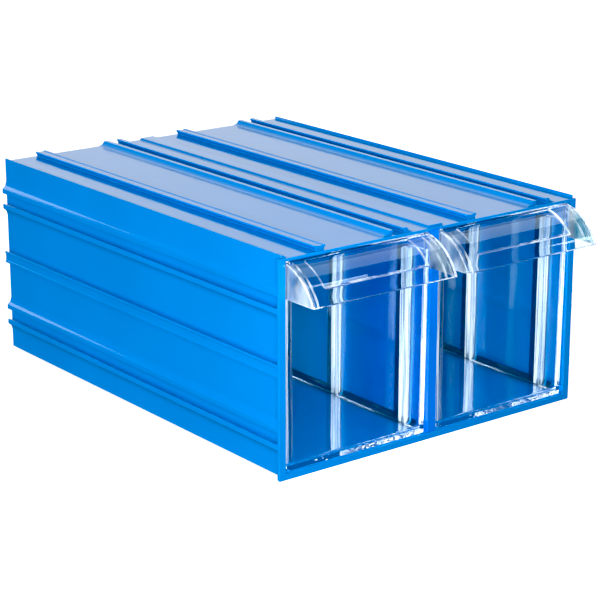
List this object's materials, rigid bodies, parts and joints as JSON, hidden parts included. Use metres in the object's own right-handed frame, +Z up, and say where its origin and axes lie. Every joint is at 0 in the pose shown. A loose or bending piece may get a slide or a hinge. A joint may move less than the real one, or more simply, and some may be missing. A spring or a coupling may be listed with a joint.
{
  "type": "parts organizer",
  "caption": "Ribbed stackable plastic cabinet with clear pull-out drawers side by side; each drawer has a curved hood handle with a label recess, and dovetail rails join it to neighbours.",
  "frame": {"origin": "on the ground under the middle of the closed organizer's footprint, drawer hoods included", "axes": "+X to the right seen from the front, the drawers face and open towards -Y, +Z up"},
  "size_m": [0.303, 0.43, 0.175],
  "materials": {
    "housing_plastic": "satin blue injection-moulded polypropylene",
    "partition_plastic": "satin blue injection-moulded polypropylene, a shade deeper",
    "drawer_clear": "polished clear polystyrene"
  },
  "bodies": {
    "housing": {"housing": "housing_plastic", "partition": "partition_plastic"},
    "drawer_left": {"drawer_left": "drawer_clear"},
    "drawer_right": {"drawer_right": "drawer_clear"}
  },
  "joints": [
    {"name": "drawer_left_slide", "type": "slide", "parent": "housing", "child": "drawer_left", "axis": [0, -1, 0], "range_m": [0, 0.339]},
    {"name": "drawer_right_slide", "type": "slide", "parent": "housing", "child": "drawer_right", "axis": [0, -1, 0], "range_m": [0, 0.339]}
  ]
}
